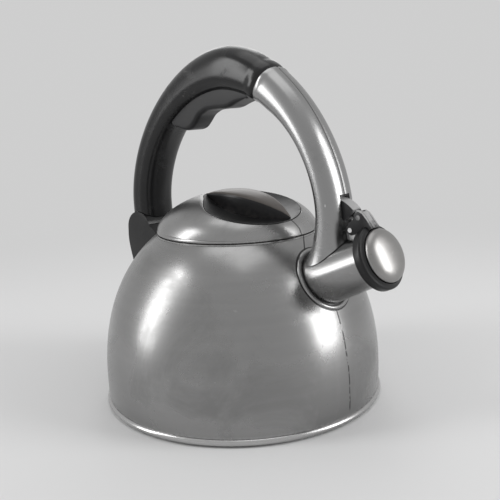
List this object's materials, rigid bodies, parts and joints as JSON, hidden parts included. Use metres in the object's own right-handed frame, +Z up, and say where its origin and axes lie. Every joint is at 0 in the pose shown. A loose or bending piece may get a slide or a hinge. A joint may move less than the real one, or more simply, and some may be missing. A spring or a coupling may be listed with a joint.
{
  "type": "stovetop whistling kettle",
  "caption": "Round stovetop kettle with a separate domed lid, an angled spout, a hinged whistling cap, and an arched handle whose rise opens the cap through a link.",
  "frame": {"origin": "centre of the underside of the base", "axes": "+Z up, +X from the kettle's axis towards the spout, +Y to the left when looking along +X"},
  "size_m": [0.2536, 0.2098, 0.2574],
  "materials": {
    "body_steel": "satin brushed",
    "lid_steel": "satin brushed",
    "base_steel": "bright rolled",
    "base_core": "plain",
    "seal": "matt",
    "recess_plastic": "matt",
    "lid_grip": "satin",
    "spout_steel": "satin brushed",
    "cap_plastic": "satin",
    "cap_steel": "satin brushed",
    "whistle_steel": "plain",
    "link_metal": "satin",
    "pins": "bright",
    "arm_metal": "satin",
    "grip_plastic": "semi-gloss",
    "pad_rubber": "satin",
    "core_steel": "plain"
  },
  "bodies": {
    "kettle": {"body_shell": "body_steel", "base_pan": "base_steel", "heat_disc": "base_core", "base_plate": "base_steel", "neck_ring": "body_steel", "spout_tube": "spout_steel", "spout_collar": "spout_steel", "spout_lug": "spout_steel", "guide_post": "spout_steel", "cap_hinge_pin": "pins", "rear_bracket": "grip_plastic", "bracket_rivets": "pins", "rear_pin": "pins"},
    "lid": {"lid_shell": "lid_steel", "lid_skirt": "lid_steel", "lid_gasket": "seal", "lid_dish": "recess_plastic", "lid_bar": "lid_grip", "lid_clamp": "core_steel", "lid_screws": "pins"},
    "cap": {"cap_ring": "cap_plastic", "cap_dome": "cap_steel", "whistle_back_disc": "whistle_steel", "whistle_spacer": "whistle_steel", "whistle_front_disc": "whistle_steel", "cap_lever": "cap_plastic", "lever_pin": "pins"},
    "link": {"cap_link": "link_metal"},
    "handle": {"handle_arm": "arm_metal", "handle_grip": "grip_plastic", "finger_pad": "pad_rubber", "handle_core": "core_steel", "core_screws": "pins", "stop_pin": "pins", "link_pin": "pins"}
  },
  "joints": [
    {"name": "handle_rise", "type": "hinge", "parent": "kettle", "child": "handle", "pos_m": [-0.098, 0, 0.118], "axis": [0, -1, 0], "range_deg": [0, 2.5]},
    {"name": "cap_swing", "type": "hinge", "parent": "kettle", "child": "cap", "pos_m": [0.107, 0, 0.135], "axis": [0, -1, 0], "range_deg": [0, 32.5]},
    {"name": "link_swing", "type": "hinge", "parent": "handle", "child": "link", "pos_m": [0.093, 0, 0.151], "axis": [0, -1, 0], "range_deg": [-23, 0]},
    {"name": "lid_lift", "type": "slide", "parent": "kettle", "child": "lid", "axis": [0, 0, 1], "range_m": [0, 0.032]}
  ],
  "couplings": [
    {"joint": "cap_swing", "follows": "handle_rise", "ratio": 12.78},
    {"joint": "link_swing", "follows": "handle_rise", "ratio": -9.03}
  ]
}
